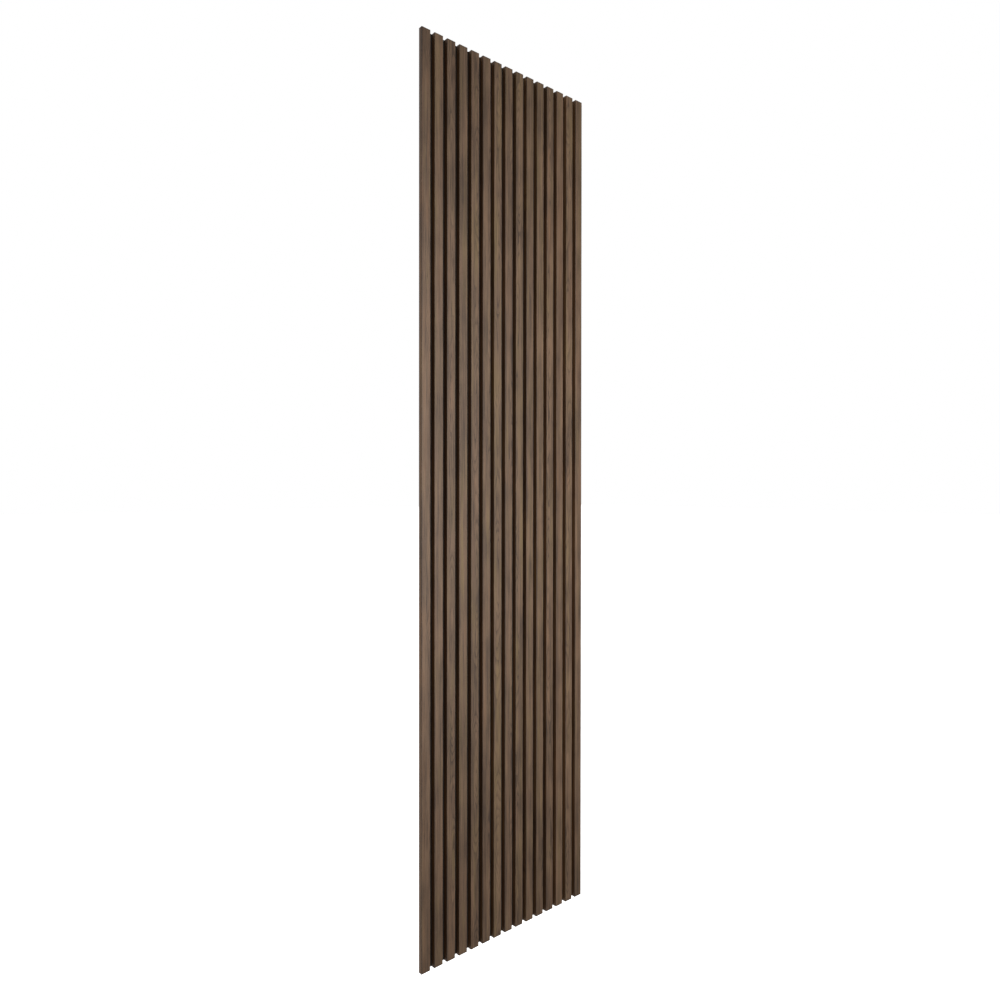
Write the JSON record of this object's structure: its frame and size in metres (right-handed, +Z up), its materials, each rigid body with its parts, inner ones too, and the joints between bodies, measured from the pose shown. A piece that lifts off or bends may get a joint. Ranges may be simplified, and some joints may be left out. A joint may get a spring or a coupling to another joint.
{
  "type": "acoustic panel",
  "caption": "Tall wall panel of upright veneered wood slats on black acoustic felt, with open grooves between the slats and a felt tongue along one edge.",
  "frame": {"origin": "middle of the flat rear face, which lies on the wall: centred on the panel's width and height", "axes": "+Z up along the slats, +Y into the wall, so the slats' fronts face -Y, and +X to the right seen from the front"},
  "size_m": [0.6, 0.021, 2.4],
  "materials": {
    "smoked_wood_veneer": "matte",
    "black_felt": "matte",
    "staple_wire": "satin"
  },
  "bodies": {
    "root": {"slat_01": "smoked_wood_veneer", "slat_02": "smoked_wood_veneer", "slat_03": "smoked_wood_veneer", "slat_04": "smoked_wood_veneer", "slat_05": "smoked_wood_veneer", "slat_06": "smoked_wood_veneer", "slat_07": "smoked_wood_veneer", "slat_08": "smoked_wood_veneer", "slat_09": "smoked_wood_veneer", "slat_10": "smoked_wood_veneer", "slat_11": "smoked_wood_veneer", "slat_12": "smoked_wood_veneer", "slat_13": "smoked_wood_veneer", "slat_14": "smoked_wood_veneer", "slat_15": "smoked_wood_veneer", "felt_backing": "black_felt", "rear_staples": "staple_wire"}
  },
  "joints": []
}
